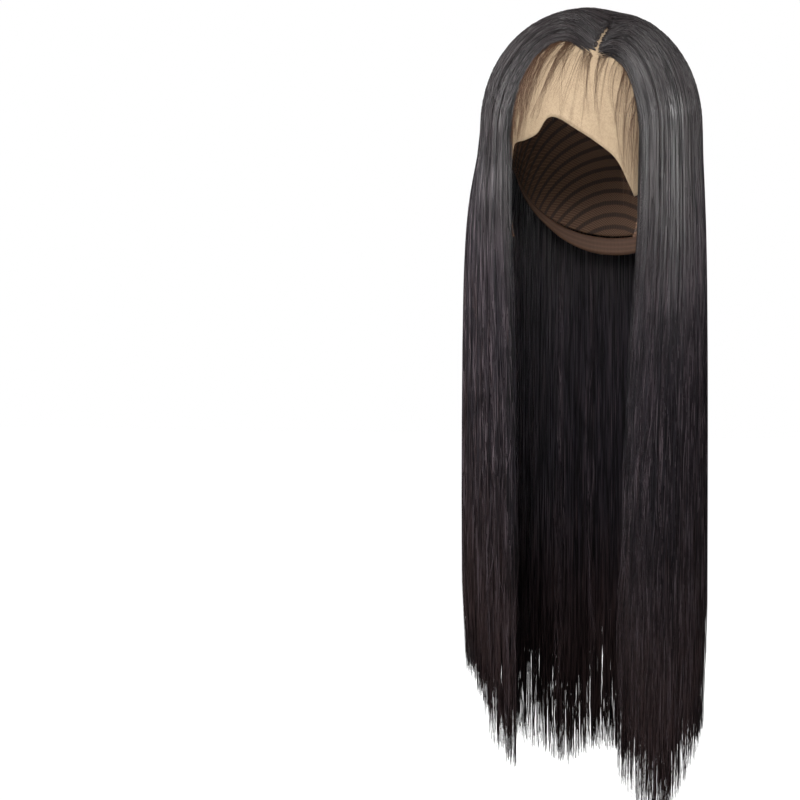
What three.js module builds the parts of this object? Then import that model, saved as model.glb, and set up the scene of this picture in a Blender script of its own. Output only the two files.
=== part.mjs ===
// A long straight lace front wig, as it sits on a head.
// Millimetres, +Z up, the face towards -Y and the wearer's left towards +X.
// The origin is the inside of the cap at the crown, where it bears on the head.

import * as THREE from 'three';

// The head's form that the cap is cut to: half width, half depth and height above its widest ring
const HEAD = { side: 79, depth: 100, tall: 95 };
const ROUNDNESS = 2.25;
const RING_Z = -HEAD.tall;
const NAPE_TUCK = 0.2;
const NAPE_DROP = 75;

// Walls and the clear spaces between them
const LACE_WALL = 1;
const CAP_WALL = 1;
const HAIR_CLEAR = 1.9;
const SEAM_GAP = 0.5;

// The hair's outer form over the head, measured as the head is
const HAIR_DOME = { right: 98.5, left: 94.5, front: 112, back: 115, tall: 111 };

// How each half width of the hair changes on its way down: its value far below, and the drop
// that it settles over
const HAIR_FALL = {
  right: { below: 119, over: 60 },
  left: { below: 102, over: 70 },
  front: { below: 98, over: 200 },
  back: { below: 120, over: 150 },
};

// The parting on the scalp, straight back from the hairline
const PART = { x: 20, front: -68, back: 28, halfWidth: 1.3, endHalfWidth: 3 };

// The hairline from the parting to the temple, as places on the head: x across, z up
const RIGHT_HAIRLINE = [
  { x: 10, z: -20 },
  { x: -12, z: -11.5 },
  { x: -30, z: -17 },
  { x: -45, z: -36 },
  { x: -53.5, z: -63 },
  { x: -57, z: RING_Z },
];
const LEFT_HAIRLINE = [
  { x: 34.5, z: -26.5 },
  { x: 47.5, z: -36 },
  { x: 54.7, z: -51 },
  { x: 60, z: -72 },
  { x: 61, z: RING_Z },
];

// The front edges of the hair below the temples, as angles from the front: far below, and the drop
// that they settle over
const FRONT_EDGE = {
  right: { below: -29.5, over: 60 },
  left: { below: 25, over: 260 },
};

// Where the side hair ends and the back hair begins, as an angle from the front
const SIDE_END = 105;

// The tips of the hair round the head: angle from the front, height
const TIPS = [
  { angle: -255, z: -640 },
  { angle: -220, z: -652 },
  { angle: -180, z: -664 },
  { angle: -145, z: -652 },
  { angle: -112, z: -622 },
  { angle: -85, z: -580 },
  { angle: -66, z: -582 },
  { angle: -48, z: -622 },
  { angle: -30, z: -655 },
  { angle: 24, z: -658 },
  { angle: 41, z: -694 },
  { angle: 52, z: -704 },
  { angle: 64, z: -684 },
  { angle: 78, z: -645 },
  { angle: 105, z: -640 },
];

// Share of the full thickness that the hair has along the parting, along the front edge and at the tips
const PART_SHARE = { front: 0.2, back: 1, closesFrom: 0.4, closesBy: 0.75, spread: 0.24 };
const EDGE_SHARE = { edge: 0.45, spread: 0.22 };
const TIP_SHARE = { tip: 0.22, from: 0.5 };

// The free edge of the lace from the wearer's right to left, as places on the head
const LACE_EDGE = [
  { x: -57, z: -150 },
  { x: -57, z: -126 },
  { x: -53, z: -106 },
  { x: -40, z: -101.5 },
  { x: -27.5, z: -95.5 },
  { x: -17, z: -82 },
  { x: -6, z: -82.5 },
  { x: 9, z: -91.5 },
  { x: 24, z: -101.5 },
  { x: 41, z: -117 },
  { x: 50, z: -137 },
  { x: 55, z: -151 },
];

// Half of the seam where the lace meets the cap, from the crown to an ear tab, as directions from
// the ring's centre
const SEAM = [
  { x: 0, y: 22, z: 95 },
  { x: 44, y: 14, z: 78 },
  { x: 69, y: 3, z: 45 },
  { x: 78, y: -12, z: 2 },
  { x: 74, y: -38, z: -32 },
  { x: 62, y: -64, z: -52 },
];

// Half of the cap's lower rim, from the nape to the front corner of an ear tab, as directions too
const RIM = [
  { x: 0, y: 80, z: -72 },
  { x: 40, y: 70, z: -68 },
  { x: 66, y: 46, z: -55 },
  { x: 79, y: 14, z: -33 },
  { x: 75, y: -30, z: -48 },
  { x: 62, y: -62, z: -87 },
  { x: 53.5, y: -72.5, z: -91 },
];

// Steps of the surfaces
const CAP_COLUMNS = 24;
const CAP_ROWS = 12;
const SIDE_COLUMNS = 12;
const BACK_COLUMNS = 18;
const DOME_ROWS = 10;
const FALL_ROWS = 9;

const NET_TAN = 0xc4a681;
const CAP_BROWN = 0x4a3527;
const HAIR_BLACK = 0x1c1718;

const RING_CENTRE = new THREE.Vector3(0, 0, RING_Z);
const { clamp, degToRad, lerp, smoothstep } = THREE.MathUtils;

// Reach of a dome from the ring's centre along a direction. Below the ring it goes straight down.
function domeReach(direction, side, depth, tall) {
  const across = Math.hypot(direction.x / side, direction.y / depth) ** ROUNDNESS;
  const up = (Math.max(direction.z, 0) / tall) ** ROUNDNESS;
  return (across + up) ** (-1 / ROUNDNESS);
}

// The place on the head, or that far outside it, that a direction from the ring's centre meets
function onHead(direction, outside = 0) {
  const reach = domeReach(direction, HEAD.side + outside, HEAD.depth + outside, HEAD.tall + outside);
  const place = direction.clone().multiplyScalar(reach);
  if (place.y > 0) place.y *= 1 - NAPE_TUCK * smoothstep(-place.z, 0, NAPE_DROP);
  return place.add(RING_CENTRE);
}

// The place on the outer form of the hair that a direction from the ring's centre meets
function onHair(direction) {
  const side = direction.x < 0 ? HAIR_DOME.right : HAIR_DOME.left;
  const depth = direction.y < 0 ? HAIR_DOME.front : HAIR_DOME.back;
  const reach = domeReach(direction, side, depth, HAIR_DOME.tall);
  return direction.clone().multiplyScalar(reach).add(RING_CENTRE);
}

const fromRing = (place) => place.clone().sub(RING_CENTRE);

// A place on the front of the head from its x and z
function onForehead({ x, z }) {
  const height = clamp((z - RING_Z) / HEAD.tall, 0, 1);
  const girth = (1 - height ** ROUNDNESS) ** (2 / ROUNDNESS);
  return new THREE.Vector3(x, -HEAD.depth * Math.sqrt(girth - (x / HEAD.side) ** 2), z);
}

// A place on the top of the head from its x and y
function onCrown(x, y) {
  const across = Math.hypot(x / HEAD.side, y / HEAD.depth) ** ROUNDNESS;
  return new THREE.Vector3(x, y, RING_Z + HEAD.tall * (1 - across) ** (1 / ROUNDNESS));
}

// A direction part of the way round from one direction to another
function between(start, end, share) {
  const from = start.clone().normalize();
  const to = end.clone().normalize();
  const turn = from.angleTo(to);
  return from.multiplyScalar(Math.sin((1 - share) * turn)).addScaledVector(to, Math.sin(share * turn));
}

// A value that starts level at the ring and settles further down
const settle = (start, { below, over }, drop) => lerp(below, start, 1 / (1 + (drop / over) ** 2));

// A level direction at an angle from the front
const level = (angle) => new THREE.Vector3(Math.sin(degToRad(angle)), -Math.cos(degToRad(angle)), 0);

// A smooth curve through the rows of half a table and their mirror images, from the wearer's right to left
function mirrored(rows) {
  const half = rows.map((row) => onHead(new THREE.Vector3(row.x, row.y, row.z)));
  const other = half.slice(1).map((place) => place.clone().setX(-place.x));
  return new THREE.CatmullRomCurve3([...other.reverse(), ...half]);
}

// A closed wall between an outer and an inner surface, each a function of a share across and a share along
function wall(outer, inner, columns, rows) {
  const places = [];
  const faces = [];
  const width = columns + 1;
  const layer = width * (rows + 1);
  for (const surface of [outer, inner]) {
    for (let row = 0; row <= rows; row += 1) {
      for (let column = 0; column <= columns; column += 1) {
        places.push(...surface(column / columns, row / rows).toArray());
      }
    }
  }
  const quad = (a, b, c, d) => faces.push(a, b, c, a, c, d);
  for (let row = 0; row < rows; row += 1) {
    for (let column = 0; column < columns; column += 1) {
      const a = row * width + column;
      const [b, c, d] = [a + 1, a + width + 1, a + width];
      quad(a, b, c, d);
      quad(layer + d, layer + c, layer + b, layer + a);
    }
  }
  const rim = (a, b) => quad(b, a, layer + a, layer + b);
  for (let column = 0; column < columns; column += 1) {
    rim(column, column + 1);
    rim(rows * width + column + 1, rows * width + column);
  }
  for (let row = 0; row < rows; row += 1) {
    rim((row + 1) * width, row * width);
    rim(row * width + columns, (row + 1) * width + columns);
  }
  const geometry = new THREE.BufferGeometry();
  geometry.setAttribute('position', new THREE.Float32BufferAttribute(places, 3));
  geometry.setIndex(facingOut(places, faces));
  geometry.computeVertexNormals();
  return geometry;
}

// The faces as they are, or all turned over where the wall they close is inside out
function facingOut(places, faces) {
  const corner = (index) => new THREE.Vector3().fromArray(places, 3 * index);
  let volume = 0;
  for (let face = 0; face < faces.length; face += 3) {
    const [a, b, c] = [corner(faces[face]), corner(faces[face + 1]), corner(faces[face + 2])];
    volume += a.dot(b.cross(c));
  }
  return volume > 0 ? faces : faces.reverse();
}

function piece(name, geometry, colour, roughness) {
  const finish = new THREE.MeshStandardMaterial({ color: colour, roughness, metalness: 0 });
  const mesh = new THREE.Mesh(geometry, finish);
  mesh.name = name;
  return mesh;
}

// The two parts of the cap: a strip of the head between two edges, which stops short of the seam
function capStrip(start, end, startGap, endGap, thickness) {
  const surface = (outside) => (across, along) => {
    const from = fromRing(start.getPointAt(across));
    const to = fromRing(end.getPointAt(across));
    const length = from.angleTo(to) * HEAD.side;
    return onHead(between(from, to, lerp(startGap / length, 1 - endGap / length, along)), outside);
  };
  return wall(surface(thickness), surface(0), CAP_COLUMNS, CAP_ROWS);
}

const seam = mirrored(SEAM);
const laceEdge = new THREE.CatmullRomCurve3(LACE_EDGE.map(onForehead));
const rim = mirrored(RIM);

// Height of the tips at an angle from the front
function tipHeight(angle) {
  const next = Math.max(1, TIPS.findIndex((row) => row.angle >= angle));
  const [before, after] = [TIPS[next - 1], TIPS[next]];
  const share = (angle - before.angle) / (after.angle - before.angle);
  return lerp(before.z, after.z, smoothstep(share, 0, 1));
}

// Reach of the hair's outer form along a level direction, that far below the ring
function hairReach(direction, drop) {
  const side = direction.x < 0 ? 'right' : 'left';
  const depth = direction.y < 0 ? 'front' : 'back';
  const halfWidth = settle(HAIR_DOME[side], HAIR_FALL[side], drop);
  const halfDepth = settle(HAIR_DOME[depth], HAIR_FALL[depth], drop);
  return 1 / Math.hypot(direction.x / halfWidth, direction.y / halfDepth);
}

// The inner and outer places of the hair below the ring, at an angle from the front and a height.
// tipShare is how far down to the tip that is, and edgeShare how much of the full thickness it has.
function hangingHair(angle, z, tipShare, edgeShare) {
  const direction = level(angle);
  const reach = hairReach(direction, RING_Z - z);
  const scalp = fromRing(onHead(direction, HAIR_CLEAR)).length();
  const full = hairReach(direction, 0) - scalp;
  const taper = lerp(1, TIP_SHARE.tip, smoothstep(tipShare, TIP_SHARE.from, 1));
  const inner = reach - (full * (1 + taper)) / 2;
  const outer = inner + full * taper * edgeShare;
  const at = (distance) => direction.clone().multiplyScalar(distance).setZ(z);
  return { inner: at(inner), outer: at(outer) };
}

// The inner and outer places of the hair on the head, along a direction from the ring's centre
function lyingHair(direction, thickShare) {
  const inner = onHead(direction, HAIR_CLEAR);
  const outer = inner.clone().lerp(onHair(direction), thickShare);
  return { inner, outer };
}

// A solid of hair, whose first rows lie on the head and whose others hang. Both are functions of
// a share across and a share along that give an inner and an outer place.
function hairSolid(lying, hanging, columns) {
  const rows = DOME_ROWS + FALL_ROWS;
  const strand = (across, along) => {
    const row = along * rows;
    if (row <= DOME_ROWS) return lying(across, row / DOME_ROWS);
    return hanging(across, (row - DOME_ROWS) / FALL_ROWS);
  };
  return wall(
    (across, along) => strand(across, along).outer,
    (across, along) => strand(across, along).inner,
    columns,
    rows,
  );
}

// The edge that the side hair and the back hair share on the head, from the end of the parting to the ring
function sideEnd(hand, gap, along) {
  const top = onCrown(PART.x + hand * PART.endHalfWidth, PART.back + gap);
  const foot = level(hand * (SIDE_END + gap));
  return between(fromRing(top), foot, along);
}

// Hair on one side of the parting: the hairline in front, the parting above and the back hair behind
function sideHair(side) {
  const hand = side === 'left' ? 1 : -1;
  const hairline = side === 'left' ? LEFT_HAIRLINE : RIGHT_HAIRLINE;
  const front = onCrown(PART.x + hand * PART.halfWidth, PART.front);
  const frontEdge = new THREE.CatmullRomCurve3([front, ...hairline.map(onForehead)]);
  const temple = fromRing(frontEdge.getPointAt(1));
  const templeAngle = THREE.MathUtils.radToDeg(Math.atan2(temple.x, -temple.y));
  const backAngle = hand * (SIDE_END - SEAM_GAP / 2);

  const parting = (across) => {
    const width = lerp(PART.halfWidth, PART.endHalfWidth, smoothstep(across, PART_SHARE.closesFrom, 1));
    return fromRing(onCrown(PART.x + hand * width, lerp(PART.front, PART.back - SEAM_GAP / 2, across)));
  };
  const ring = (across) => fromRing(onHead(level(lerp(templeAngle, backAngle, across))));
  const fringe = (along) => fromRing(frontEdge.getPointAt(along));
  const back = (along) => fromRing(onHead(sideEnd(hand, -SEAM_GAP / 2, along)));

  // A patch filled in from its four edges, less what its corners would count twice
  const patch = (across, along) => {
    const place = parting(across).multiplyScalar(1 - along).addScaledVector(ring(across), along);
    place.addScaledVector(fringe(along), 1 - across).addScaledVector(back(along), across);
    place.addScaledVector(parting(0), -(1 - across) * (1 - along));
    place.addScaledVector(parting(1), -across * (1 - along));
    place.addScaledVector(ring(0), -(1 - across) * along);
    return place.addScaledVector(ring(1), -across * along);
  };

  const edgeShare = (across) => lerp(EDGE_SHARE.edge, 1, smoothstep(across, 0, EDGE_SHARE.spread));
  const lying = (across, along) => {
    const closed = smoothstep(across, PART_SHARE.closesFrom, PART_SHARE.closesBy);
    const atPart = lerp(PART_SHARE.front, PART_SHARE.back, closed);
    const thick = lerp(atPart, 1, smoothstep(along, 0, PART_SHARE.spread)) * edgeShare(across);
    return lyingHair(patch(across, along), thick);
  };
  const hanging = (across, along) => {
    const tip = tipHeight(lerp(FRONT_EDGE[side].below, backAngle, across));
    const z = lerp(RING_Z, tip, along);
    const frontAngle = settle(templeAngle, FRONT_EDGE[side], RING_Z - z);
    return hangingHair(lerp(frontAngle, backAngle, across), z, along, edgeShare(across));
  };
  return hairSolid(lying, hanging, SIDE_COLUMNS);
}

// Hair on the back of the cap, fanned out from the end of the parting
function backHair() {
  const rightEnd = -(SIDE_END + SEAM_GAP / 2);
  const leftEnd = SIDE_END + SEAM_GAP / 2 - 360;
  const angleAt = (across) => lerp(rightEnd, leftEnd, across);
  const lying = (across, along) => {
    const x = PART.x + lerp(-PART.endHalfWidth, PART.endHalfWidth, across);
    const y = PART.back + SEAM_GAP / 2 + PART.endHalfWidth * Math.sin(Math.PI * across);
    const direction = between(fromRing(onCrown(x, y)), level(angleAt(across)), along);
    return lyingHair(direction, 1);
  };
  const hanging = (across, along) => {
    const angle = angleAt(across);
    const z = lerp(RING_Z, tipHeight(angle), along);
    return hangingHair(angle, z, along, 1);
  };
  return hairSolid(lying, hanging, BACK_COLUMNS);
}

const wig = new THREE.Group();
wig.add(
  piece('lace_front', capStrip(laceEdge, seam, 0, SEAM_GAP / 2, LACE_WALL), NET_TAN, 0.8),
  piece('cap', capStrip(seam, rim, SEAM_GAP / 2, 0, CAP_WALL), CAP_BROWN, 0.85),
  piece('right_hair', sideHair('right'), HAIR_BLACK, 0.4),
  piece('left_hair', sideHair('left'), HAIR_BLACK, 0.4),
  piece('back_hair', backHair(), HAIR_BLACK, 0.4),
);

export default wig;
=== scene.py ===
import math

import bmesh
import bpy
import numpy as np
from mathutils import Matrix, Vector


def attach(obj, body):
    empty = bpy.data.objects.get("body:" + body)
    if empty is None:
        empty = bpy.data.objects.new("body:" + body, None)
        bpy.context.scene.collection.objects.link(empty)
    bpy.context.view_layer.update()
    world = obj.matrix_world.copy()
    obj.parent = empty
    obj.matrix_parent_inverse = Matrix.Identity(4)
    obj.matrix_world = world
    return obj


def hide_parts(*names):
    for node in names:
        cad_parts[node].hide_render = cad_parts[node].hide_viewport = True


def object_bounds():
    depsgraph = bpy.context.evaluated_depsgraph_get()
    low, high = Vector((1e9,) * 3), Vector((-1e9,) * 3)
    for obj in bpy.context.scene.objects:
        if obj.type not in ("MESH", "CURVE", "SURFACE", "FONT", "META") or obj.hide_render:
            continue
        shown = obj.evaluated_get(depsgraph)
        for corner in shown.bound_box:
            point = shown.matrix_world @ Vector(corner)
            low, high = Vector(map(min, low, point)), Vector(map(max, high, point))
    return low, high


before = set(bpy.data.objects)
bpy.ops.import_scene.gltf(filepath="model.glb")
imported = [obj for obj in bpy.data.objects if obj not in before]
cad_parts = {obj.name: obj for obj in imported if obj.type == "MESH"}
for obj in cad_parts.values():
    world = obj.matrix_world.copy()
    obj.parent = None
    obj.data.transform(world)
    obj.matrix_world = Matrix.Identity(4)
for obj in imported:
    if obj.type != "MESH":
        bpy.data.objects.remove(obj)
cad_low, cad_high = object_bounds()

# Sizes are in metres, and MM makes metres of a size given in millimetres
MM = 0.001
SEED = 11

# The head's form that the cap is cut to: half width, half depth and height above its widest ring
HEAD_SIDE = 79 * MM
HEAD_DEPTH = 100 * MM
HEAD_TALL = 95 * MM
ROUNDNESS = 2.25
RING_Z = -HEAD_TALL
RING_CENTRE = np.array([0.0, 0.0, RING_Z])
NAPE_TUCK = 0.2
NAPE_DROP = 75 * MM

# The hair's outer form over the head, measured as the head is
HAIR_DOME = {"right": 100.5 * MM, "left": 96.5 * MM, "front": 112 * MM, "back": 115 * MM}
HAIR_TALL = 111 * MM
HAIR_ROUNDNESS = 2.14
SCALP_CLEAR = 1.5 * MM

# Each half width of the hair far below the ring, and the drop that it settles over
HAIR_FALL = {
    "right": (119 * MM, 55 * MM),
    "left": (102 * MM, 70 * MM),
    "front": (98 * MM, 200 * MM),
    "back": (120 * MM, 150 * MM),
}

# The parting on the scalp, straight back from the hairline
PART_X = 20 * MM
PART_FRONT = -75 * MM
PART_BACK = 28 * MM

# Half of its width in front, and behind, where its two sides overlap, and how uneven its edges are
PART_HALF_WIDTH = 1.1 * MM
PART_END_HALF_WIDTH = -1.5 * MM
PART_UNEVEN = 0.32
PART_WAVES = (9.3, 14.9, 26.7)

# The shares of its length that it closes between, how far strands start over it there and before, the share
# of their height that they start at where it is closed, and half the width of the crown behind it
PART_CLOSES = (0.36, 0.62)
PART_CROSSING = 0.05
PART_STRAY = 0.02
CLOSED_LIFT = 0.85
CROWN_HALF_WIDTH = 6 * MM

# How much roots crowd towards the parting and towards the crown, as powers
SIDE_ROOTS_CROWD = 2
BACK_ROOTS_CROWD = 1.5

# Along the hairline, how far down strands start and how wide that band is, and how much of their tone
# strands keep there, lowered as painted shade, and the band of that shade
HAIRLINE_ROOTS = 0.85
HAIRLINE_BAND = 0.07
EDGE_SHADE_TONE = 0.5
EDGE_SHADE_BAND = 0.12

# The hairline from the parting to the temple, as places on the head in mm: x across, z up
HAIRLINE = {
    "right": [(10, -25), (-12, -15), (-29, -22), (-41, -42), (-48.5, -68), (-54.5, -97)],
    "left": [(32, -29.5), (43.5, -39), (50.5, -54), (55, -73), (57, -95)],
}

# The front edges of the hair: their angle from the front far below, and the drop that they settle over
FRONT_EDGE = {"right": (-32.0, 60 * MM), "left": (25.0, 260 * MM)}

# Where the side hair ends, as an angle from the front, and how far the back hair reaches past it in degrees
SIDE_END = 105.0
BACK_OVERLAP = 2.5

# The tips of the hair round the head: angle from the front, height in mm, the share of strands that end
# near it and how far the others end above it in mm
TIPS = [
    (-255, -634, 0.15, 120), (-220, -650, 0.3, 75), (-187, -674, 0.75, 36), (-174, -662, 0.75, 36),
    (-165, -660, 0.75, 36), (-153, -674, 0.75, 36), (-143, -662, 0.7, 36), (-115, -634, 0.45, 50),
    (-104, -608, 0.3, 60), (-85, -578, 0.3, 65), (-66, -576, 0.3, 65), (-54, -606, 0.3, 65),
    (-46, -638, 0.4, 60), (-37, -654, 0.45, 50), (-30, -666, 0.5, 45), (24, -664, 0.5, 45),
    (33, -682, 0.5, 45), (41, -702, 0.5, 45), (52, -712, 0.5, 45), (64, -686, 0.4, 55),
    (78, -660, 0.2, 110), (105, -634, 0.15, 120),
]

# Shares of the full thickness along the front edge, where it hangs and where it lies, with the shares of the
# way down that it rises between, and how far across the edge reaches
EDGE_SHARE = 0.45
EDGE_LIES = 0.12
EDGE_RISES = (0.55, 1)
EDGE_SPREAD = 0.22

# Share of the full thickness at the tips, and the share of the fall that it tapers from
TIP_SHARE = 0.6
TIP_FROM = 0.8

# The free edge of the lace from the wearer's right to left, as places on the head in mm: x, z
LACE_EDGE = [
    (-57, -150), (-57, -126), (-53, -106), (-40, -101.5), (-27.5, -95.5), (-17, -82),
    (-6, -82.5), (9, -91.5), (24, -101.5), (41, -117), (50, -137), (55, -151),
]

# Half of the seam where the lace meets the cap, and half of the cap's rim, as directions from the centre
# of the ring
SEAM = [(0, 22, 95), (44, 14, 78), (69, 3, 45), (78, -12, 2), (74, -38, -32), (62, -64, -52)]
RIM = [
    (0, 80, -72), (40, 70, -68), (66, 46, -55), (79, 14, -33),
    (75, -30, -48), (62, -62, -87), (53.5, -72.5, -91),
]

rng = np.random.default_rng(SEED)


def lerp(start, end, share):
    return start + (end - start) * share


def smooth(value, low, high):
    share = np.clip((value - low) / (high - low), 0, 1)
    return share * share * (3 - 2 * share)


def unit(vectors):
    return vectors / np.linalg.norm(vectors, axis=-1, keepdims=True)


def level(angle):
    """A level direction at an angle in degrees from the front."""
    turn = np.radians(angle)
    return np.stack([np.sin(turn), -np.cos(turn), np.zeros_like(turn)], axis=-1)


def dome_reach(direction, side, depth, tall, roundness=ROUNDNESS):
    """Reach of a dome from the ring's centre along a direction. Below the ring it goes straight down."""
    across = np.hypot(direction[..., 0] / side, direction[..., 1] / depth) ** roundness
    up = (np.maximum(direction[..., 2], 0) / tall) ** roundness
    return (across + up) ** (-1 / roundness)


def on_head(direction, outside=0.0):
    """The place on the head, or that far outside it, that a direction from the ring's centre meets."""
    reach = dome_reach(direction, HEAD_SIDE + outside, HEAD_DEPTH + outside, HEAD_TALL + outside)
    place = direction * reach[..., None]
    tuck = 1 - NAPE_TUCK * smooth(-place[..., 2], 0, NAPE_DROP)
    place[..., 1] *= np.where(place[..., 1] > 0, tuck, 1)
    return place + RING_CENTRE


def half_sizes(direction, sizes):
    """The half width and half depth that hold in a direction."""
    side = np.where(direction[..., 0] < 0, sizes["right"], sizes["left"])
    depth = np.where(direction[..., 1] < 0, sizes["front"], sizes["back"])
    return side, depth


def on_hair(direction):
    """The place on the outer form of the hair that a direction from the ring's centre meets."""
    side, depth = half_sizes(direction, HAIR_DOME)
    reach = dome_reach(direction, side, depth, HAIR_TALL, HAIR_ROUNDNESS)
    return direction * reach[..., None] + RING_CENTRE


def settle(start, below, over, drop):
    """A value that starts level at the ring and settles further down."""
    return lerp(below, start, 1 / (1 + (drop / over) ** 2))


def hair_reach(direction, drop):
    """Reach of the hair's outer form along a level direction, that far below the ring."""
    sizes = {key: settle(HAIR_DOME[key], *HAIR_FALL[key], drop) for key in HAIR_DOME}
    side, depth = half_sizes(direction, sizes)
    return 1 / np.hypot(direction[..., 0] / side, direction[..., 1] / depth)


def on_forehead(x, z):
    """A place on the front of the head from its x and z."""
    height = np.clip((z - RING_Z) / HEAD_TALL, 0, 1)
    girth = (1 - height ** ROUNDNESS) ** (2 / ROUNDNESS)
    depth = np.sqrt(np.maximum(girth - (x / HEAD_SIDE) ** 2, 0))
    return np.stack([x, -HEAD_DEPTH * depth, z], axis=-1)


def on_crown(x, y):
    """A place on the top of the head from its x and y."""
    across = np.hypot(x / HEAD_SIDE, y / HEAD_DEPTH) ** ROUNDNESS
    return np.stack([x, y, RING_Z + HEAD_TALL * (1 - across) ** (1 / ROUNDNESS)], axis=-1)


def between(start, end, share):
    """A direction part of the way round from one direction to another."""
    start, end = unit(start), unit(end)
    turn = np.arccos(np.clip((start * end).sum(axis=-1), -1, 1))
    near, far = np.sin((1 - share) * turn), np.sin(share * turn)
    return start * near[..., None] + end * far[..., None]


def curve_through(places, steps=24):
    """A smooth curve through places, as a function of a share of its length."""
    places = np.asarray(places, dtype=float)
    ends = [2 * places[0] - places[1], 2 * places[-1] - places[-2]]
    held = np.vstack([ends[0], places, ends[1]])
    step = np.linspace(0, 1, steps, endpoint=False)[:, None]
    runs = []
    for before, start, end, after in zip(held, held[1:], held[2:], held[3:]):
        cubic = 3 * start - before - 3 * end + after
        square = 2 * before - 5 * start + 4 * end - after
        runs.append(start + ((end - before) * step + square * step ** 2 + cubic * step ** 3) / 2)
    line = np.vstack([*runs, places[-1:]])
    length = np.concatenate([[0], np.cumsum(np.linalg.norm(np.diff(line, axis=0), axis=1))])

    def at(share):
        distance = np.asarray(share) * length[-1]
        return np.stack([np.interp(distance, length, line[:, axis]) for axis in range(3)], axis=-1)

    return at


def mirrored(rows):
    """A curve on the head through the rows of half a table and their mirror images."""
    half = on_head(np.array(rows, dtype=float) * MM)
    other = half[:0:-1] * [-1, 1, 1]
    return curve_through(np.vstack([other, half]))


def forehead_rows(rows):
    table = np.array(rows, dtype=float) * MM
    return on_forehead(table[:, 0], table[:, 1])


# Shader values

# A Mix node's sockets for colours, which have the same names as those for numbers
MIX_SHARE = 0
MIX_START = 6
MIX_END = 7
MIX_COLOUR = 2


class Wire:
    """A node socket that Python's operators work on, each adding its Math node."""

    def __init__(self, tree, socket):
        self.tree = tree
        self.socket = socket

    def node(self, kind, settings=None, values=None, output=0):
        """The output of a new node, with its settings made first and then its sockets filled."""
        made = self.tree.nodes.new("ShaderNode" + kind)
        for name, value in (settings or {}).items():
            if name == "stops":
                self.fill_ramp(made.color_ramp, value)
            else:
                setattr(made, name, value)
        for name, value in (values or {}).items():
            if isinstance(value, Wire):
                self.tree.links.new(value.socket, made.inputs[name])
            else:
                made.inputs[name].default_value = value
        return Wire(self.tree, made.outputs[output])

    @staticmethod
    def fill_ramp(ramp, stops):
        while len(ramp.elements) < len(stops):
            ramp.elements.new(0.5)
        for element, (place, colour) in zip(ramp.elements, stops):
            element.position = place
            element.color = (*colour, 1)

    def math(self, operation, first, second=0.0):
        return self.node("Math", {"operation": operation}, {0: first, 1: second})

    def mix(self, share, start, end):
        """A colour part of the way from one to another."""
        settings = {"data_type": "RGBA", "clamp_factor": True}
        values = {MIX_SHARE: share, MIX_START: start, MIX_END: end}
        return self.node("Mix", settings, values, output=MIX_COLOUR)

    def smooth(self, low, high):
        settings = {"interpolation_type": "SMOOTHSTEP"}
        return self.node("MapRange", settings, {"Value": self, "From Min": low, "From Max": high})

    def sine(self):
        return self.math("SINE", self)

    def size(self):
        return self.math("ABSOLUTE", self)

    def above(self, other):
        return self.math("MAXIMUM", self, other)

    def __add__(self, other):
        return self.math("ADD", self, other)

    def __radd__(self, other):
        return self.math("ADD", other, self)

    def __sub__(self, other):
        return self.math("SUBTRACT", self, other)

    def __rsub__(self, other):
        return self.math("SUBTRACT", other, self)

    def __mul__(self, other):
        return self.math("MULTIPLY", self, other)

    def __rmul__(self, other):
        return self.math("MULTIPLY", other, self)


def new_material(name, roughness, specular):
    """A material with its shader, and a Wire to start its other nodes from."""
    material = bpy.data.materials.new(name)
    material.use_nodes = True
    tree = material.node_tree
    shader = tree.nodes["Principled BSDF"]
    shader.inputs["Roughness"].default_value = roughness
    shader.inputs["Specular IOR Level"].default_value = specular
    return material, shader, Wire(tree, None)


def feed(shader, socket, wire):
    wire.tree.links.new(wire.socket, shader.inputs[socket])


def feed_bump(shader, start, height, strength, depth):
    bump = start.node("Bump", values={"Height": height, "Strength": strength, "Distance": depth})
    feed(shader, "Normal", bump)


def rising(low, wire):
    """A value that goes from a low one to 1 as a wire goes from 0 to 1."""
    return low + (1 - low) * wire


def fine_noise(start, place, scale, detail):
    return start.node("TexNoise", values={"Vector": place, "Scale": scale, "Detail": detail})


def own_map(start):
    """The two numbers of a piece's own map."""
    place = start.node("TexCoord", output="UV")
    values = {"Vector": place}
    return start.node("SeparateXYZ", values=values), start.node("SeparateXYZ", values=values, output=1)


# The hair's colours along its length, and those that strands have beside them
ROOT_BLACK = (0.0112, 0.0090, 0.0090, 1)
LENGTH_BLACK = (0.0116, 0.0090, 0.0132, 1)
TIP_BROWN = (0.0760, 0.0460, 0.0430, 1)
WARM_STRAND = (0.0650, 0.0440, 0.0480, 1)
# SHADED_STRAND is both the colour of dull strands and the painted shade of the grooves between locks and of
# the hairline
SHADED_STRAND = (0.0030, 0.0026, 0.0030, 1)
PALE_STRAND = (0.094, 0.074, 0.084, 1)

# Strands in locks take the tones up to LOCK_TONES, and single strands those past the next step
LOCK_TONES = 0.88
SINGLE_STEP = 0.02

# How many streaks the noise has across all tones and along a strand, for strands and for locks, and how far
# it shifts a lock's tone
STRAND_STREAKS = (250, 12)
LOCK_STREAKS = (22, 5)
LOCK_DRIFT = 0.6

# The ranges of noise, tone or length that each effect comes in over
SHINY_STRANDS = (0.43, 0.57)
WARM_STRANDS = (0.55, 0.75)
PALE_STRANDS = (0.52, 0.68)
LIGHT_LOCKS = (0.28, 0.78)
LENGTH_BEGINS = (0.2, 0.5)
TIP_BEGINS = (0.66, 1.0)
PALE_BEGINS = (0.25, 0.65)
SHEEN_BEGINS = (0.0, 0.06)

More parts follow.
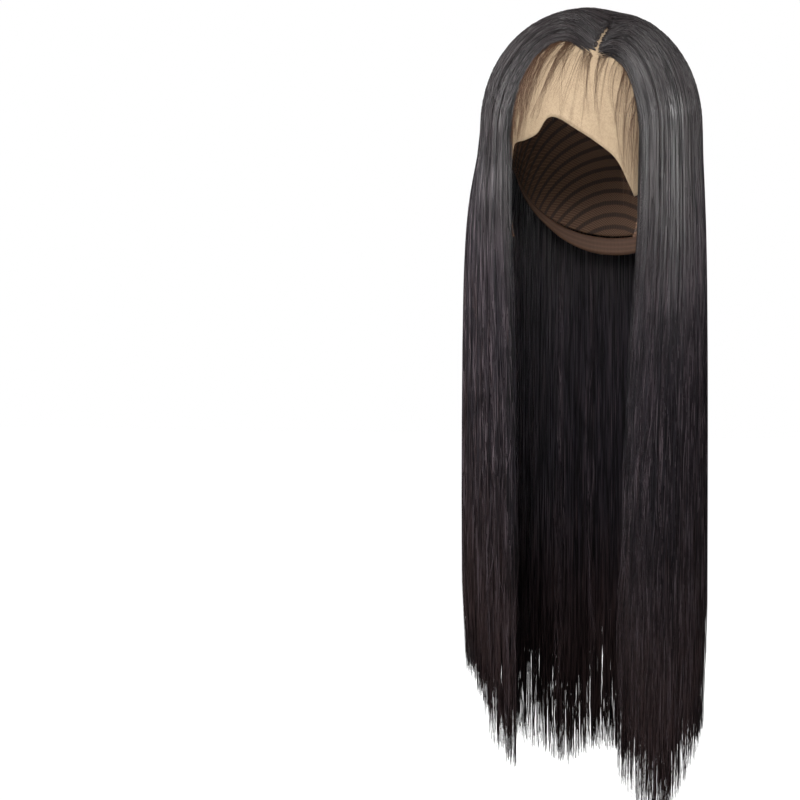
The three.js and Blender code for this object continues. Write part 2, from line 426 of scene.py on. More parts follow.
# How much of each effect there is
WARM_SHARE = 0.6
WARM_SINGLE = 0.3
WARM_AT_ROOT = 0.2
LOCK_LIGHT = 0.35
STRAND_LIGHT = 0.65
DULL_ROUGHNESS = 0.52
SMOOTHER_STRAND = 0.18
SHEEN = 0.4
LOCK_SHEEN = 0.45
DULL_SHEEN = 0.15
SINGLE_DULLS = 0.3
ROOT_SHEEN = 0.3
COAT_ROUGHNESS = 0.3


def streaks(start, across, along, counts):
    """Noise drawn out along the strands, around 0.5."""
    place = start.node("CombineXYZ", values={"X": across * counts[0], "Y": along * counts[1]})
    return fine_noise(start, place, scale=1.0, detail=1.0)


def hair_material():
    """Black hair: each lock and each strand has a tone and sheen of its own, browner towards the tips, and
    painted shade darkens the strands in the grooves between locks and along the hairline.
    """
    material, shader, start = new_material("black_hair", roughness=0.42, specular=0.18)
    shader.inputs["Coat Roughness"].default_value = COAT_ROUGHNESS
    tone, along = own_map(start)
    strand = streaks(start, tone, along, STRAND_STREAKS)
    shine = strand.smooth(*SHINY_STRANDS)
    drift = streaks(start, tone, along, LOCK_STREAKS) - 0.5
    # A lock's value holds the painted shade of its groove and of the hairline: it lightens the colour and
    # raises the sheen
    lock = (tone * (1 / LOCK_TONES) + LOCK_DRIFT * drift).smooth(*LIGHT_LOCKS)
    single = tone.smooth(LOCK_TONES, LOCK_TONES + SINGLE_STEP)
    length_colour = start.mix(along.smooth(*LENGTH_BEGINS), ROOT_BLACK, LENGTH_BLACK)
    length_colour = start.mix(along.smooth(*TIP_BEGINS), length_colour, TIP_BROWN)
    warm = strand.smooth(*WARM_STRANDS) * WARM_SHARE + WARM_SINGLE * single
    coloured = start.mix(warm * rising(WARM_AT_ROOT, along), length_colour, WARM_STRAND)
    # Dull strands, and strands with painted shade in the grooves and along the hairline, go towards
    # SHADED_STRAND
    shaded = start.mix(LOCK_LIGHT * lock + STRAND_LIGHT * shine, SHADED_STRAND, coloured)
    pale = single * strand.smooth(*PALE_STRANDS) * along.smooth(*PALE_BEGINS)
    feed(shader, "Base Color", start.mix(pale, shaded, PALE_STRAND))
    feed(shader, "Roughness", DULL_ROUGHNESS - SMOOTHER_STRAND * strand)
    sheen = (SHEEN + LOCK_SHEEN * lock) * rising(DULL_SHEEN, shine) * (1 - SINGLE_DULLS * single)
    feed(shader, "Coat Weight", sheen * rising(ROOT_SHEEN, along.smooth(*SHEEN_BEGINS)))
    return material


# The fine hairs' colours, and how much paler a hair is by its tone and at its tip
WISP_BROWN = (0.036, 0.018, 0.010, 1)
WISP_PALE = (0.090, 0.050, 0.030, 1)
WISP_PALER_BY_TONE = 0.2
WISP_PALER_AT_TIP = 0.8


def wisp_material():
    """The fine brown hairs along the hairline, paler at their tips."""
    material, shader, start = new_material("fine_brown_hair", roughness=0.5, specular=0.15)
    tone, along = own_map(start)
    paler = WISP_PALER_BY_TONE * tone + WISP_PALER_AT_TIP * along
    feed(shader, "Base Color", start.mix(paler, WISP_BROWN, WISP_PALE))
    return material


# The lace's colours and pitch, how much its holes cover, the range that shows as thread, and how much its
# unevenness and its holes shade it
NET_TAN = (0.207, 0.156, 0.100, 1)
NET_SHADE = (0.143, 0.101, 0.064, 1)
NET_PITCH = 1.8 * MM
NET_HOLE_COVER = 0.88
NET_THREAD = (0.35, 0.8)
NET_UNEVEN = 0.8
NET_HOLE_SHADE = 0.12

# The lace's unevenness: scale and detail of a noise, the range of it that shows, and its weight
NET_NOISES = [
    (70.0, 4.0, (0.3, 0.75), 0.45),
    (620.0, 2.0, (0.35, 0.65), 0.6),
]


def cloth_distances(start, span):
    """A cloth's true distances, across from its middle and up from its first edge."""
    across, up = own_map(start)
    return (across - 0.5) * span, up * span


def net_threads(across, up, pitch):
    """How near a place is to the slanted threads of a net, from 0 to 1."""
    turns = math.pi / pitch
    one = ((across + up) * turns).sine().size()
    other = ((across - up) * turns).sine().size()
    return (1 - one).above(1 - other)


def lace_material(span):
    """Sheer tan net: close slanted threads with fine openings between them."""
    material, shader, start = new_material("tan_lace", roughness=0.75, specular=0.2)
    across, up = cloth_distances(start, span)
    thread = net_threads(across, up, NET_PITCH).smooth(*NET_THREAD)
    cloth_at = start.node("CombineXYZ", values={"X": across, "Y": up})
    uneven = 0.0
    for scale, detail, shown, weight in NET_NOISES:
        uneven = uneven + weight * fine_noise(start, cloth_at, scale, detail).smooth(*shown)
    shaded = NET_UNEVEN * uneven + NET_HOLE_SHADE * (1 - thread)
    feed(shader, "Base Color", start.mix(shaded, NET_TAN, NET_SHADE))
    feed(shader, "Alpha", rising(NET_HOLE_COVER, thread))
    feed_bump(shader, start, thread, strength=0.5, depth=0.2 * MM)
    return material


# The cap's net: colours, pitch, the range that shows as thread and how far it rises
CAP_BROWN = (0.050, 0.027, 0.017, 1)
CAP_THREAD = (0.110, 0.064, 0.040, 1)
CAP_ROW_BLACK = (0.012, 0.008, 0.007, 1)
CAP_NET_PITCH = 2.2 * MM
CAP_NET_THREAD = (0.45, 0.85)
CAP_THREAD_RISE = 0.5

# Its sewn rows and their stitches: pitches, the ranges that show, how dark they are and how much smoother
WEFT_PITCH = 11 * MM
WEFT_SHOWS = (0.75, 0.97)
STITCH_PITCH = 1.6 * MM
STITCH_SHOWS = (0.4, 0.9)
ROW_DARK = 0.4
STITCH_DARK = 0.5
CAP_ROUGHNESS = 0.9
ROW_SMOOTHER = 0.25


def ribs(distance, pitch):
    """Even ribs across a distance, from 0 to 1."""
    return (distance * (math.pi / pitch)).sine().size()


def cap_material(span):
    """Brown stretch net with a darker sewn row every finger's width."""
    material, shader, start = new_material("brown_cap_net", roughness=0.85, specular=0.2)
    across, up = cloth_distances(start, span)
    thread = net_threads(across, up, CAP_NET_PITCH).smooth(*CAP_NET_THREAD)
    row = ribs(up, WEFT_PITCH).smooth(*WEFT_SHOWS)
    stitch = ribs(across, STITCH_PITCH).smooth(*STITCH_SHOWS)
    colour = start.mix(thread * (1 - row), CAP_BROWN, CAP_THREAD)
    colour = start.mix(row * (ROW_DARK + STITCH_DARK * stitch), colour, CAP_ROW_BLACK)
    feed(shader, "Base Color", colour)
    feed(shader, "Roughness", CAP_ROUGHNESS - ROW_SMOOTHER * row)
    feed_bump(shader, start, CAP_THREAD_RISE * thread + row * stitch, strength=0.6, depth=0.4 * MM)
    return material


# The hem's colours, and the pitch, shade and rise of its ribs and welts
HEM_BROWN = (0.075, 0.037, 0.021, 1)
HEM_DARK = (0.032, 0.016, 0.010, 1)
RIB_PITCH = 1.3 * MM
RIB_DARK = 0.35
WELT_PITCH = 4 * MM
WELT_DARK = 0.4
WELT_RISE = 0.5


def hem_material(span):
    """Ribbed brown elastic along the cap's rim, with welts along it."""
    material, shader, start = new_material("brown_elastic", roughness=0.7, specular=0.3)
    across, up = own_map(start)
    rib = ribs(across, RIB_PITCH / span)
    welt = ribs(up, WELT_PITCH / span)
    feed(shader, "Base Color", start.mix(RIB_DARK * rib + WELT_DARK * welt, HEM_BROWN, HEM_DARK))
    feed_bump(shader, start, rib + WELT_RISE * welt, strength=0.6, depth=0.3 * MM)
    return material


# Lace and cap

def show(name, mesh, material, slot, *nodes):
    """A piece of the wig with its material, on the one body, in place of its nodes."""
    piece = bpy.data.objects.new(name, mesh)
    bpy.context.scene.collection.objects.link(piece)
    mesh.materials.append(material)
    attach(piece, "root")
    if nodes:
        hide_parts(*nodes)
    return piece


def metric_map(places, columns, rows):
    """Each place's distance across from the middle column and along from the first row."""
    grid = places.reshape(rows + 1, columns + 1, 3)
    across = np.zeros(grid.shape[:2])
    across[:, 1:] = np.cumsum(np.linalg.norm(np.diff(grid, axis=1), axis=2), axis=1)
    across -= across[:, columns // 2:columns // 2 + 1]
    along = np.zeros(grid.shape[:2])
    along[1:] = np.cumsum(np.linalg.norm(np.diff(grid, axis=0), axis=2), axis=0)
    return np.stack([across.ravel(), along.ravel()], axis=-1)


def fitted_cloth(name, surface, columns, rows, span):
    """A sheet from a grid, laid on a surface, with its true distances as its map."""
    bm = bmesh.new()
    bmesh.ops.create_grid(bm, x_segments=columns, y_segments=rows, size=0.5)
    bm.verts.ensure_lookup_table()
    shares = np.array([vertex.co[:2] for vertex in bm.verts]) + 0.5
    order = np.lexsort((shares[:, 0].round(6), shares[:, 1].round(6)))
    places = surface(shares[:, 0], shares[:, 1])
    distances = np.zeros((len(shares), 2))
    distances[order] = metric_map(places[order], columns, rows)
    for vertex, place in zip(bm.verts, places):
        vertex.co = place
    uv = bm.loops.layers.uv.new("OFBake")
    for face in bm.faces:
        face.smooth = True
        for loop in face.loops:
            across, along = distances[loop.vert.index]
            loop[uv].uv = (0.5 + across / span, along / span)
    bm.normal_update()
    centre = Vector(RING_CENTRE)
    outward = sum(face.normal.dot(face.calc_center_median() - centre) for face in bm.faces)
    if outward < 0:
        bmesh.ops.reverse_faces(bm, faces=bm.faces)
    mesh = bpy.data.meshes.new(name)
    bm.to_mesh(mesh)
    bm.free()
    return mesh


def thicken(piece, thickness):
    solid = piece.modifiers.new("thickness", "SOLIDIFY")
    solid.thickness = thickness
    solid.offset = 0


def strip(start, end, low, high, outside):
    """The head's surface between two edges, from a low to a high share of the way."""
    def surface(across, along):
        from_edge = start(across) - RING_CENTRE
        to_edge = end(across) - RING_CENTRE
        share = lerp(low, high, along)
        return on_head(between(from_edge, to_edge, share), outside(across, along))
    return surface


# The distance that each cloth's map spans, and the columns and rows of its grid
LACE_SPAN = 0.44
CAP_SPAN = 0.56
LACE_GRID = (96, 44)
CAP_GRID = (72, 102)
HEM_GRID = (96, 4)

# How thick each cloth is, and how far outside the head its middle lies
LACE_THICK = 0.3 * MM
LACE_MIDDLE = 0.5 * MM
CAP_THICK = 0.7 * MM
CAP_MIDDLE = 0.55 * MM
HEM_THICK = 1.5 * MM
HEM_MIDDLE = 0.45 * MM

# The share of the way from the seam to the rim at which the hem begins, and the gap that the seam leaves
HEM_SHARE = 0.966
SEAM_SHARE = 0.004

# The ridges of the cap's sewn rows, and the waves of the lace's free edge: turns, phase and height
WEFT_ROWS = 17
WEFT_RISE = 0.35 * MM
WEFT_RIDGE = (0.7, 1)
LACE_EDGE_RISE = 0.18 * MM
LACE_EDGE_BAND = (0.8, 1)
LACE_EDGE_WAVES = [(61, 0.0, 1.0), (143, 1.3, 0.6)]

seam = mirrored(SEAM)
rim = mirrored(RIM)
lace_edge = curve_through(forehead_rows(LACE_EDGE))


def weft_rows(across, along):
    """The cap's middle surface, with a low ridge along each sewn row."""
    ridge = np.abs(np.sin(along * math.pi * WEFT_ROWS))
    return CAP_MIDDLE + WEFT_RISE * smooth(ridge, *WEFT_RIDGE)


def cut_edge(across, along):
    """The lace's middle surface, which waves slightly towards its free edge."""
    rise = sum(height * np.sin(across * turns + phase) for turns, phase, height in LACE_EDGE_WAVES)
    return LACE_MIDDLE + LACE_EDGE_RISE * rise * smooth(1 - along, *LACE_EDGE_BAND)


def hem_middle(across, along):
    """The hem's middle surface, which is even."""
    return np.full_like(across, HEM_MIDDLE)


def make_lace():
    surface = strip(lace_edge, seam, 0, 1 - SEAM_SHARE, cut_edge)
    mesh = fitted_cloth("lace_net", surface, *LACE_GRID, LACE_SPAN)
    piece = show("lace_net", mesh, lace_material(LACE_SPAN), "lace", "lace_front")
    thicken(piece, LACE_THICK)


def make_cap():
    surface = strip(seam, rim, SEAM_SHARE, HEM_SHARE - SEAM_SHARE, weft_rows)
    mesh = fitted_cloth("cap_net", surface, *CAP_GRID, CAP_SPAN)
    piece = show("cap_net", mesh, cap_material(CAP_SPAN), "cap", "cap")
    thicken(piece, CAP_THICK)
    hem_surface = strip(seam, rim, HEM_SHARE, 1, hem_middle)
    hem_mesh = fitted_cloth("cap_hem", hem_surface, *HEM_GRID, CAP_SPAN)
    hem = show("cap_hem", hem_mesh, hem_material(CAP_SPAN), "cap")
    thicken(hem, HEM_THICK)


# Hair

class SideHair:
    """Hair on one side of the parting, with the hairline in front of it and the back hair behind it."""

    has_hairline = True

    def __init__(self, side):
        self.hand = 1 if side == "left" else -1
        front = on_crown(np.array(PART_X + self.hand * PART_HALF_WIDTH), np.array(PART_FRONT))
        self.hairline = curve_through(np.vstack([front, forehead_rows(HAIRLINE[side])]))
        temple = self.hairline(1.0)
        self.temple_angle = math.degrees(math.atan2(temple[0], -temple[1]))
        self.front_edge = FRONT_EDGE[side]
        self.back_angle = self.hand * SIDE_END

    def parting(self, across):
        half = lerp(PART_HALF_WIDTH, PART_END_HALF_WIDTH, smooth(across, *PART_CLOSES))
        for waves in PART_WAVES:
            half = half * (1 + PART_UNEVEN * np.sin(2 * math.pi * waves * across + waves * self.hand))
        return on_crown(PART_X + self.hand * half, lerp(PART_FRONT, PART_BACK, across)) - RING_CENTRE

    def ring(self, across):
        return on_head(level(lerp(self.temple_angle, self.back_angle, across))) - RING_CENTRE

    def end(self, along):
        top = self.parting(np.ones_like(along))
        foot = level(np.full_like(along, self.back_angle))
        return on_head(between(top, foot, along)) - RING_CENTRE

    def lying(self, across, along):
        """Directions over the head, filled in from the four edges. Those before 0 cross the parting."""
        over = along < 0
        along = np.abs(along)
        back, down = across[..., None], along[..., None]
        first, last = np.zeros_like(across), np.ones_like(across)
        place = self.parting(across) * (1 - down) + self.ring(across) * down
        place += (self.hairline(along) - RING_CENTRE) * (1 - back) + self.end(along) * back
        place -= self.parting(first) * (1 - back) * (1 - down) + self.parting(last) * back * (1 - down)
        place -= self.ring(first) * (1 - back) * down + self.ring(last) * back * down
        place[..., 0] = np.where(over, 2 * PART_X - place[..., 0], place[..., 0])
        return place

    def angle(self, across, drop):
        return lerp(settle(self.temple_angle, *self.front_edge, drop), self.back_angle, across)

    def tip_angle(self, across):
        return lerp(self.front_edge[0], self.back_angle, across)

    def fullness(self, across, along):
        """The share of the full thickness: close to the scalp at the hairline, thicker where it hangs."""
        edge = lerp(EDGE_LIES, EDGE_SHARE, smooth(along, *EDGE_RISES))
        return lerp(edge, 1, smooth(across, 0, EDGE_SPREAD))

    def edge_shade(self, across):
        """How much of its tone a strand keeps: those along the hairline are painted darker, as painted shade
        under the arch of the hair.
        """
        return lerp(EDGE_SHADE_TONE, 1, smooth(across, 0, EDGE_SHADE_BAND))

    def root_lift(self, across):
        """The share of its height that a strand starts at, which rises where the parting closes."""
        return CLOSED_LIFT * smooth(across, *PART_CLOSES)

    def roots(self, across, low, high):
        """Where strands start: just over the parting where it closes, and all along the hairline."""
        count = len(across)
        root = lerp(low, high, rng.random(count) ** SIDE_ROOTS_CROWD)
        closed = smooth(across, *PART_CLOSES)
        over = PART_CROSSING * rng.random(count) * closed
        over += PART_STRAY * rng.random(count) * (1 - closed)
        at_hairline = HAIRLINE_ROOTS * rng.random(count) * smooth(HAIRLINE_BAND - across, 0, HAIRLINE_BAND)
        return np.maximum(root - over, at_hairline)


class BackHair:
    """Hair on the back of the cap, fanned out from the end of the parting."""

    has_hairline = False

    def lying(self, across, along):
        """Directions over the head, from a short arc behind the parting."""
        x = PART_X + lerp(-CROWN_HALF_WIDTH, CROWN_HALF_WIDTH, across)
        y = PART_BACK + CROWN_HALF_WIDTH * (np.sin(math.pi * across) - 1)
        start = on_crown(x, y) - RING_CENTRE
        return between(start, level(self.tip_angle(across)), along)

    def angle(self, across, drop):
        """The same angle at every drop."""
        return self.tip_angle(across) + 0 * drop

    def tip_angle(self, across):
        return lerp(BACK_OVERLAP - SIDE_END, SIDE_END - BACK_OVERLAP - 360, across)

    def fullness(self, across, along):
        return np.ones_like(across)

    # The back hair has no hairline, so no painted shade darkens it
    def edge_shade(self, across):
        return np.ones_like(across)

    def root_lift(self, across):
        return np.full_like(across, CLOSED_LIFT)

    def roots(self, across, low, high):
        """Where strands start: at the crown, and down the back of the cap."""
        return lerp(low, high, rng.random(len(across)) ** BACK_ROOTS_CROWD)


def wave(distance, lengths, phases):
    """A gentle wave along strands: a sum of sines, one for each length."""
    total = 0
    for length, phase in zip(lengths, phases):
        total = total + np.sin(2 * math.pi * distance / length + phase[:, None])
    return total / len(lengths)


# Strands lie in clumps: how many in each, how far they stray from its middle across and in depth, the least
# depth, how clumps crowd outwards as a power, and how much they gather from a share of the fall on
CLUMP_SIZE = 9
CLUMP_WIDTH = 0.008
CLUMP_DEPTH = 0.06
LEAST_DEPTH = 0.02
DEPTH_CROWDS = 0.7
GATHER = 0.46
GATHERS_FROM = 0.55

# A clump's wave lengths in metres and how far it sways, the drops over which a clump and a strand come to
# sway fully, and the share of strands that sway further, with how much further they do
CLUMP_WAVES = (0.46, 0.31)
CLUMP_SWAY = 2.2 * MM
CLUMP_SWAYS_OVER = 0.45
STRAND_SWAYS_OVER = 0.25
FLYAWAY_SHARE = 0.025
FLYAWAY_SWAY = 4.0

# How far clumps and cut strands end above the tips' heights, how far those are lowered for that, the share
# of inner strands that are cut too, and the shortest fall
TIP_CLUMP_RISE = 6 * MM
TIP_RISE = 9 * MM
TIP_DROP = 5 * MM
UNDER_CUT = 0.4
SHORTEST_FALL = 0.2

# How thin a strand is at its root and tip, and where it has or begins to change
ROOT_THINNESS = 0.4
ROOT_THIN_STEPS = 3
TIP_THINNESS = 0.25
THIN_FROM = 0.66

# How steps crowd towards the roots and the ring, how far they stray, and the step from which they do fully
ROOT_STEPS = 1.5
FALL_STEPS = 1.35
STEP_STRAY = 0.45
STRAYS_BY_STEP = 4

# Shares of the way over the head: where a strand begins to turn to its place, how far past its root it has
# risen and how far before it begins to, and how far from the parting a root still starts raised
TURNS_FROM = 0.35
ROOT_RISE = 0.2
RISES_BEFORE = 0.01
RAISED_ROOTS = 0.06

# Locks across the hair, how deep the grooves between them are, and what share of that is left at the tips.
# The shifts make them uneven: waves across and how far they shift the locks
LOCKS = 17
LOCK_RELIEF = 0.12
LOCK_HANGS = 0.5
LOCK_SHIFTS = [(9, 0.5), (31, 0.4)]
GROOVE_SHARPNESS = 1.5

# Finer locks within them, and what shares of a strand's tone come from its lock, which carries the painted
# shade of the grooves between locks, its clump and itself
FINE_LOCKS = 2.6
FINE_SHIFT = (17, 0.6)
FINE_SHARE = 0.4
LOCK_SHARE = 0.45
CLUMP_SHARE = 0.2
STRAND_SHARE = 0.35


def lock_groove(across):
    """How deep the hair lies between its locks, from 0 to 1, by its share across."""
    locks = LOCKS * across
    for waves, shift in LOCK_SHIFTS:
        locks = locks + shift * np.sin(waves * across)
    return (0.5 - 0.5 * np.sin(2 * math.pi * locks)) ** GROOVE_SHARPNESS


def lock_tone_and_groove_shade(across):
    """The tone of the lock that a strand lies in, from 0 to 1: painted shade makes the grooves between locks
    darker than the ridges, with finer locks within them.
    """
    waves, shift = FINE_SHIFT
    locks = FINE_LOCKS * LOCKS * across + shift * np.sin(waves * across)
    fine = 0.5 + 0.5 * np.sin(2 * math.pi * locks)
    return (1 - FINE_SHARE) * (1 - lock_groove(across)) + FINE_SHARE * fine


def strand_paths(hair, count, depths, roots, steps, waves, sway):
    """The middle lines of many strands, from their roots over the head and down to their tips."""
    dome_steps, fall_steps = steps
    clumps = count // CLUMP_SIZE
    clump_across = (rng.permutation(clumps) + rng.random(clumps)) / clumps
    clump_depth = lerp(*depths, rng.random(clumps) ** DEPTH_CROWDS)
    clump_tip = np.abs(rng.normal(0, TIP_CLUMP_RISE, clumps))
    clump_phases = rng.uniform(0, 2 * math.pi, (len(CLUMP_WAVES), clumps))
    clump_tone = rng.random(clumps)

    which = rng.integers(clumps, size=count)
    middle = clump_across[which]
    across = middle + rng.normal(0, CLUMP_WIDTH, count)
    across = np.where(hair.has_hairline, np.abs(across), across)
    depth = np.clip(clump_depth[which] + rng.normal(0, CLUMP_DEPTH, count), LEAST_DEPTH, 1)
    root = hair.roots(across, *roots)
    flying = rng.random(count) < FLYAWAY_SHARE
    reach_out = sway * MM * np.where(flying, FLYAWAY_SWAY, 1.0)[:, None]
    phases = rng.uniform(0, 2 * math.pi, (len(waves), count))
    # A strand's tone: its lock's, which holds the painted shade of the grooves, its clump's and its own at
    # random
    tone = LOCK_SHARE * lock_tone_and_groove_shade(across) + CLUMP_SHARE * clump_tone[which]
    tone = tone + STRAND_SHARE * rng.random(count)
    # Strands along the hairline are painted darker, as painted shade
    tone = tone * hair.edge_shade(across)

    # Some strands end near the tips' outline, and the rest above it
    tip_angles, *tip_columns = np.array(TIPS, dtype=float).T
    ends_at = hair.tip_angle(across)
    tip, cut_share, spread = [np.interp(ends_at, tip_angles, column) for column in tip_columns]
    cut = rng.random(count) < cut_share * lerp(UNDER_CUT, 1, depth)
    cut_rise = TIP_RISE * rng.exponential(1, count)
    free_rise = spread * MM * rng.gamma(2, 1, count)
    tip = tip * MM - TIP_DROP + clump_tip[which] + np.where(cut, cut_rise, free_rise)
    tip = np.minimum(tip, RING_Z - SHORTEST_FALL)

    # Over the head, each strand leaves the scalp and turns to hang straight by the ring
    order = np.arange(dome_steps)
    stray = rng.uniform(-STEP_STRAY, STEP_STRAY, (count, 1)) * smooth(order, 0, STRAYS_BY_STEP)
    along = root[:, None] + (1 - root[:, None]) * ((order + stray) / dome_steps) ** ROOT_STEPS
    wide = np.broadcast_to(across[:, None], along.shape)
    direction = hair.lying(wide, along)
    heading = np.degrees(np.arctan2(direction[..., 0], -direction[..., 1]))
    home = hair.angle(across, 0 * across)[:, None]
    turn = (home - heading + 180) % 360 - 180
    turn = np.radians(turn * smooth(along, TURNS_FROM, 1))
    turned = np.stack([
        direction[..., 0] * np.cos(turn) - direction[..., 1] * np.sin(turn),
        direction[..., 0] * np.sin(turn) + direction[..., 1] * np.cos(turn),
        direction[..., 2],
    ], axis=-1)
    groove = 1 - LOCK_RELIEF * lock_groove(across)[:, None]
    root_lift = hair.root_lift(wide) * (1 - smooth(root, 0, RAISED_ROOTS)[:, None])
    grown = lerp(root_lift, 1, smooth(along - root[:, None], -RISES_BEFORE, ROOT_RISE))
    lift = depth[:, None] * groove * hair.fullness(wide, along) * grown
    scalp = on_head(turned, SCALP_CLEAR)
    lying = scalp + (on_hair(turned) - scalp) * lift[..., None]

    # Below the ring it hangs, gathers into its clump and sways
    share = np.linspace(0, 1, fall_steps + 1) ** FALL_STEPS
    drop = (RING_Z - tip)[:, None] * share
    gathered = lerp(across[:, None], middle[:, None], GATHER * smooth(share, GATHERS_FROM, 1))
    clump_drift = wave(drop, CLUMP_WAVES, clump_phases[:, which]) * CLUMP_SWAY
    strand_drift = wave(drop, waves, phases) * reach_out
    drift = clump_drift * smooth(drop, 0, CLUMP_SWAYS_OVER)
    drift = drift + strand_drift * smooth(drop, 0, STRAND_SWAYS_OVER)
    straight = hair.angle(gathered, drop)
    heading = level(straight + np.degrees(drift / hair_reach(level(straight), drop)))
    scalp_reach = np.linalg.norm(on_head(heading, SCALP_CLEAR) - RING_CENTRE, axis=-1)
    full = hair_reach(heading, 0) - scalp_reach
    taper = lerp(1, TIP_SHARE, smooth(share, TIP_FROM, 1))
    inner = hair_reach(heading, drop) - full * (1 + taper) / 2
    tip_groove = 1 - LOCK_RELIEF * LOCK_HANGS * lock_groove(across)[:, None]
    groove = lerp(groove, tip_groove, share)
    out = inner + full * taper * depth[:, None] * groove * hair.fullness(gathered, 1.0)
    hanging = heading * out[..., None]
    hanging[..., 2] = RING_Z - drop
    root_thins = lerp(ROOT_THINNESS, 1, smooth(order, 0, ROOT_THIN_STEPS))
    tip_thins = lerp(1, TIP_THINNESS, smooth(share, THIN_FROM, 1))
    thinning = np.concatenate([root_thins, tip_thins])
    return np.concatenate([lying, hanging], axis=1), thinning, tone


# The sides of a strand, how wide its place on a map of 1024 pixels is, and the share of the map at each end
# that its end faces take
STRAND_SIDES = 3
MAP_WIDTH = 2.4 / 1024
MAP_MARGIN = 0.004


def strand_mesh(name, paths, radii, tones):
    """One mesh of closed three-sided tubes. Its map holds each strand's tone and the share along it."""
    count, rings, _ = paths.shape
    tangent = unit(np.gradient(paths, axis=1))
    outward = paths - RING_CENTRE
    outward[..., 2] = np.where(outward[..., 2] > 0, outward[..., 2], 0)
    side = unit(np.cross(tangent, outward))
    up = np.cross(side, tangent)
    turns = 2 * math.pi * np.arange(STRAND_SIDES) / STRAND_SIDES + math.pi / 2
    spread = up[:, :, None] * np.sin(turns)[:, None] + side[:, :, None] * np.cos(turns)[:, None]
    places = paths[:, :, None] + spread * radii[:, :, None, None]

    base = np.arange(count)[:, None, None] * rings * STRAND_SIDES
    ring = np.arange(rings - 1)[None, :, None] * STRAND_SIDES
    corner = np.arange(STRAND_SIDES)[None, None, :]
    following = (corner + 1) % STRAND_SIDES
    low, high = base + ring, base + ring + STRAND_SIDES
    quads = np.stack([low + corner, low + following, high + following, high + corner], axis=-1)
    quads = quads.reshape(-1, 4)
    root_caps = base[:, 0] + np.arange(STRAND_SIDES)[::-1]
    tip_caps = base[:, 0] + (rings - 1) * STRAND_SIDES + np.arange(STRAND_SIDES)
    caps = np.concatenate([root_caps, tip_caps])
    corners = np.concatenate([quads.ravel(), caps.ravel()])
    starts = np.concatenate([np.arange(len(quads)) * 4, len(quads) * 4 + np.arange(len(caps)) * 3])

    run = np.cumsum(np.linalg.norm(np.diff(paths, axis=1), axis=2), axis=1)
    run = np.concatenate([np.zeros((count, 1)), run / run[:, -1:]], axis=1)
    run = lerp(MAP_MARGIN, 1 - MAP_MARGIN, run)
    left = tones[:, None, None] * (1 - MAP_WIDTH) + MAP_WIDTH * corner / STRAND_SIDES
    left = np.broadcast_to(left, (count, rings - 1, STRAND_SIDES))
    right = left + MAP_WIDTH / STRAND_SIDES
    near = np.broadcast_to(run[:, :-1, None], left.shape)
    far = np.broadcast_to(run[:, 1:, None], left.shape)
    quad_map = np.stack([left, near, right, near, right, far, left, far], axis=-1).reshape(-1, 2)
    cap_at = tones[:, None] * (1 - MAP_WIDTH) + MAP_WIDTH * np.array([0, 1, 0.5])
    root_map = np.stack([cap_at, np.broadcast_to([0, 0, MAP_MARGIN], cap_at.shape)], axis=-1)
    tip_map = np.stack([cap_at, np.broadcast_to([1, 1, 1 - MAP_MARGIN], cap_at.shape)], axis=-1)
    strand_map = np.concatenate([quad_map, root_map.reshape(-1, 2), tip_map.reshape(-1, 2)])

    mesh = bpy.data.meshes.new(name)
    mesh.vertices.add(places.size // 3)
    mesh.vertices.foreach_set("co", places.ravel())
    mesh.loops.add(len(corners))
    mesh.loops.foreach_set("vertex_index", corners)
    mesh.polygons.add(len(starts))
    mesh.polygons.foreach_set("loop_start", starts)
    mesh.polygons.foreach_set("use_smooth", np.ones(len(starts), dtype=bool))
    mesh.uv_layers.new(name="OFBake").data.foreach_set("uv", strand_map.ravel())
    mesh.update(calc_edges=True)
    return mesh


# The hair's layers: strands, depths in the hair, roots as shares of the way down, steps over the head and
# below it, radii in mm, wave lengths in metres and how far they sway in mm
LAYER_COLUMNS = ("count", "depths", "roots", "steps", "radii", "waves", "sway")
SIDE_LAYERS = {
    "outer": (1350, (0.5, 1.0), (0.0, 0.22), (10, 8), (0.30, 0.44), (0.46, 0.31), 1.1),
    "loose": (450, (0.88, 1.06), (0.0, 0.25), (9, 18), (0.24, 0.32), (0.17, 0.11), 2.6),
    "under": (1150, (0.02, 0.6), (0.02, 0.75), (4, 4), (0.38, 0.52), (0.46, 0.31), 1.1),
}
BACK_LAYERS = {
    "outer": (1600, (0.5, 1.0), (0.0, 0.3), (8, 6), (0.32, 0.46), (0.46, 0.31), 1.1),
    "loose": (300, (0.85, 1.03), (0.0, 0.3), (8, 14), (0.22, 0.30), (0.17, 0.10), 1.9),
    "under": (3200, (0.02, 0.7), (0.0, 0.75), (4, 4), (0.40, 0.55), (0.46, 0.31), 1.1),
    "inside": (80, (0.0, 0.03), (0.4, 0.8), (4, 14), (0.22, 0.30), (0.23, 0.13), 5.0),
}

# The layers of single strands, which take the last tones
SINGLE_LAYERS = ("loose", "inside")


def make_hair(name, hair, layers, material):
    """All layers of one piece of hair. The outer one stands for its node."""
    for layer, row in layers.items():
        sizes = dict(zip(LAYER_COLUMNS, row))
        widths = sizes.pop("radii")
        paths, thinning, tones = strand_paths(hair, **sizes)
        if layer in SINGLE_LAYERS:
            tones = lerp(LOCK_TONES + SINGLE_STEP, 1, tones)
        else:
            tones = tones * LOCK_TONES
        radii = rng.uniform(*widths, sizes["count"])[:, None] * MM * thinning
        piece_name = f"{name}_{layer}"
        mesh = strand_mesh(piece_name, paths, radii, tones)
        nodes = [name] if layer == "outer" else []
        show(piece_name, mesh, material, "hair", *nodes)


